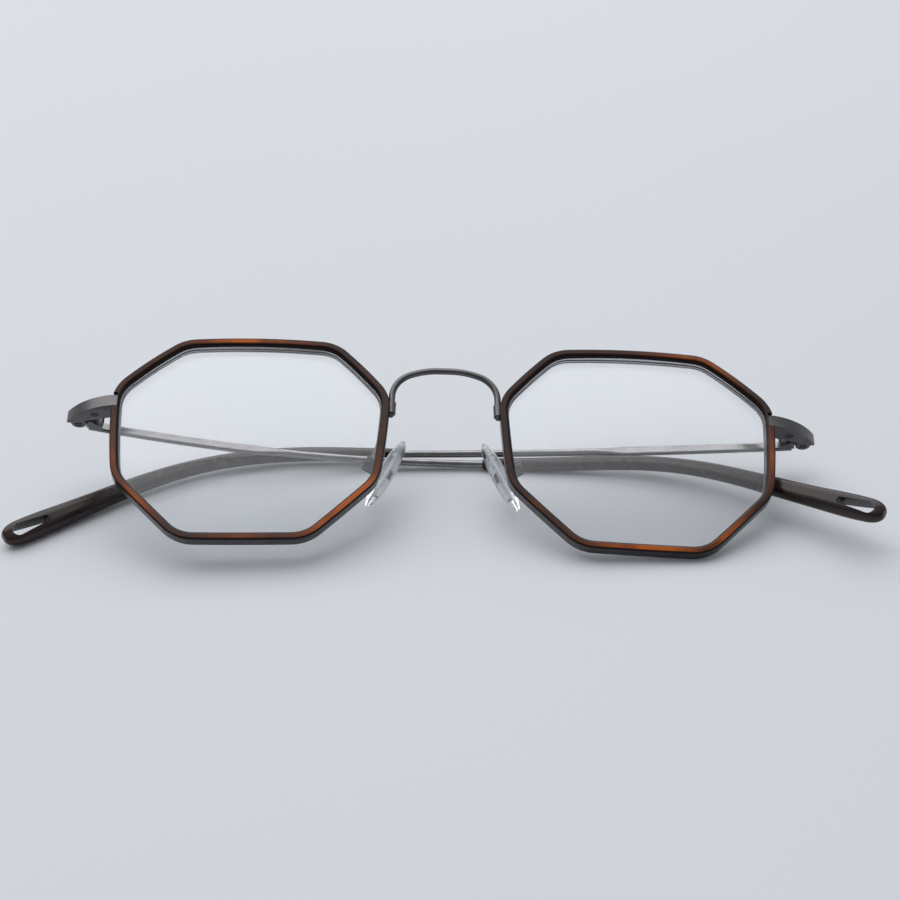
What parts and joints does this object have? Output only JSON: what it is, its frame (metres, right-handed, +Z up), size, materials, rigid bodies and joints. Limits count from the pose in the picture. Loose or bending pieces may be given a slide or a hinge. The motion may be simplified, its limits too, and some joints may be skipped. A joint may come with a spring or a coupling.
{
  "type": "octagonal eyeglasses",
  "caption": "Octagonal eyeglasses, folded: acetate rims in metal eyewires, wire bridge, pads on arms, hinged metal temples with acetate tips.",
  "frame": {"origin": "centre of the bounding box, on the surface that the folded glasses rest on", "axes": "+X to the viewer's right along the front, +Y away from the viewer, +Z up from the table; the fronts of the lenses face -Y and up"},
  "size_m": [0.1554, 0.0392, 0.0247],
  "materials": {
    "acetate": "polished tortoise acetate, dark brown with amber where light passes",
    "tip_acetate": "polished dark acetate",
    "gunmetal": "satin gunmetal plating",
    "screw": "satin steel",
    "lens": "clear plastic lens",
    "silicone": "clear soft silicone",
    "insert": "plain metal plate"
  },
  "bodies": {
    "front": {"bridge": "gunmetal", "lens_left": "lens", "acetate_rim_left": "acetate", "eyewire_left": "gunmetal", "cover_plate_left": "gunmetal", "upper_leaf_left": "gunmetal", "lower_leaf_left": "gunmetal", "rim_screw_left": "screw", "hinge_screw_left": "screw", "pad_arm_left": "gunmetal", "pad_box_left": "gunmetal", "pad_screw_left": "screw", "lens_right": "lens", "acetate_rim_right": "acetate", "eyewire_right": "gunmetal", "cover_plate_right": "gunmetal", "upper_leaf_right": "gunmetal", "lower_leaf_right": "gunmetal", "rim_screw_right": "screw", "hinge_screw_right": "screw", "pad_arm_right": "gunmetal", "pad_box_right": "gunmetal", "pad_screw_right": "screw"},
    "temple_left": {"temple_wire_left": "gunmetal", "temple_tip_left": "tip_acetate", "hinge_block_left": "gunmetal"},
    "temple_right": {"temple_wire_right": "gunmetal", "temple_tip_right": "tip_acetate", "hinge_block_right": "gunmetal"},
    "pad_left": {"nose_pad_left": "silicone", "pad_insert_left": "insert"},
    "pad_right": {"nose_pad_right": "silicone", "pad_insert_right": "insert"}
  },
  "joints": [
    {"name": "hinge_left", "type": "hinge", "parent": "front", "child": "temple_left", "pos_m": [-0.06588, 0.00883, 0.01362], "axis": [0.0212, 0.8979, 0.4398], "range_deg": [0, 76.5]},
    {"name": "hinge_right", "type": "hinge", "parent": "front", "child": "temple_right", "pos_m": [0.06726, 0.00883, 0.0072], "axis": [-0.0212, -0.8979, -0.4398], "range_deg": [0, 82.81]},
    {"name": "rock_pad_left", "type": "hinge", "parent": "front", "child": "pad_left", "pos_m": [-0.01246, -0.0003, 0.00836], "axis": [0.1699, -0.6825, 0.7109], "range_deg": [-10, 10]},
    {"name": "rock_pad_right", "type": "hinge", "parent": "front", "child": "pad_right", "pos_m": [0.01358, -0.0003, 0.0071], "axis": [0.1007, 0.6825, -0.7239], "range_deg": [-10, 10]}
  ]
}
